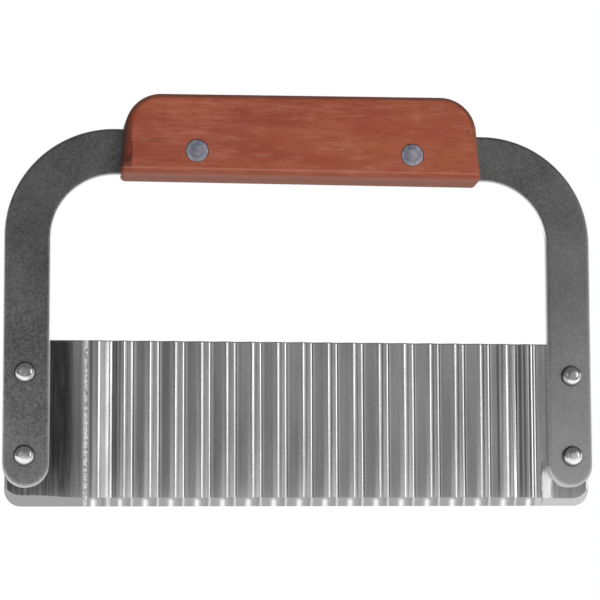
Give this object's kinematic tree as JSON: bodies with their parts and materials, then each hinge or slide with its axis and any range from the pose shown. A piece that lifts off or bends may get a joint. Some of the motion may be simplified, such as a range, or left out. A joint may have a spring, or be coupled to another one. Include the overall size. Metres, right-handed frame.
{
  "type": "garnish serrator",
  "caption": "Hand cutter with a wavy steel blade riveted behind a flat U-shaped frame that carries a slotted wooden grip.",
  "frame": {"origin": "middle of the hand grip: halfway between the centres of the grip's two rivets, in the middle of the strap's thickness", "axes": "+X along the blade, to the right seen from the front; +Y from the front, where the rivet domes and the ground bevel are, to the back; +Z from the cutting edge towards the grip, which is up when the tool is held to cut"},
  "size_m": [0.1794, 0.0164, 0.1243],
  "materials": {
    "frame_steel": "satin, finely mottled stainless strap with deburred edges",
    "blade_steel": "bright rolled stainless sheet, polished on the bends, with a ground bevel",
    "rivet_steel": "smooth domed steel",
    "handle_wood": "fine-grained reddish hardwood, oiled",
    "handle_rivet_metal": "dull bluish-grey metal, ground nearly flush with the wood"
  },
  "bodies": {
    "root": {"handle_frame": "frame_steel", "serrated_blade": "blade_steel", "wooden_handle": "handle_wood", "blade_rivet_left_upper": "rivet_steel", "blade_rivet_left_lower": "rivet_steel", "blade_rivet_right_upper": "rivet_steel", "blade_rivet_right_lower": "rivet_steel", "handle_rivet_left_socket": "handle_rivet_metal", "handle_rivet_left_pin": "handle_rivet_metal", "handle_rivet_right_socket": "handle_rivet_metal", "handle_rivet_right_pin": "handle_rivet_metal"}
  },
  "joints": []
}
